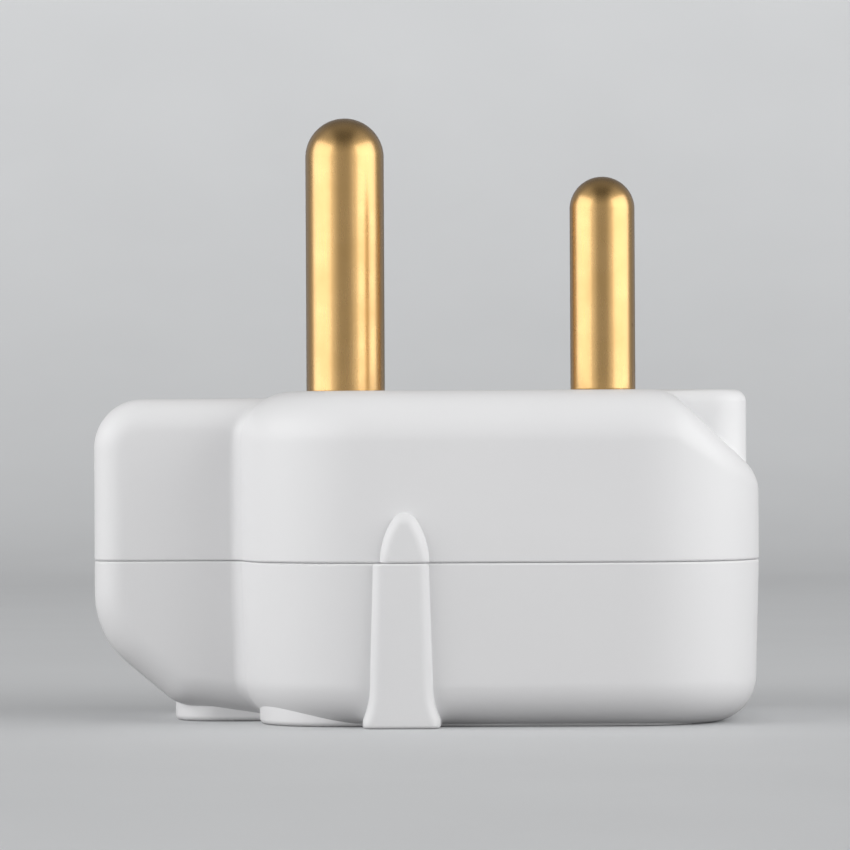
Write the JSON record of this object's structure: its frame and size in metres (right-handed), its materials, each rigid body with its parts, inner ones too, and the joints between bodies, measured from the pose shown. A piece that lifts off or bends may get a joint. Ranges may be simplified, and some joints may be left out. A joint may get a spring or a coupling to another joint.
{
  "type": "three-pin multi-socket adapter",
  "caption": "White plug-in mains adapter with round brass pins on one face and round-hole sockets on the other.",
  "frame": {"origin": "centre of the bounding box, on the flat socket face that it lies on", "axes": "+Z the way the pins point, +X towards the line and neutral pins, -Y towards the line pin"},
  "size_m": [0.0726, 0.0582, 0.0664],
  "materials": {
    "housing": "satin moulded white",
    "plug_pins": "turned, lightly polished",
    "contacts": "stamped, plain",
    "springs": "drawn wire",
    "screws": "zinc plated"
  },
  "bodies": {
    "root": {"base_shell": "housing", "socket_cover": "housing", "earth_pin": "plug_pins", "line_pin": "plug_pins", "neutral_pin": "plug_pins", "earth_strip": "contacts", "line_strip": "contacts", "neutral_strip": "contacts", "earth_sleeve": "contacts", "line_sleeve": "contacts", "neutral_sleeve": "contacts", "near_line_clip": "contacts", "near_neutral_clip": "contacts", "far_line_clip": "contacts", "far_neutral_clip": "contacts", "clip_rivets": "contacts", "earth_spring_ring": "springs", "line_spring_ring": "springs", "neutral_spring_ring": "springs", "housing_screws": "screws"}
  },
  "joints": []
}
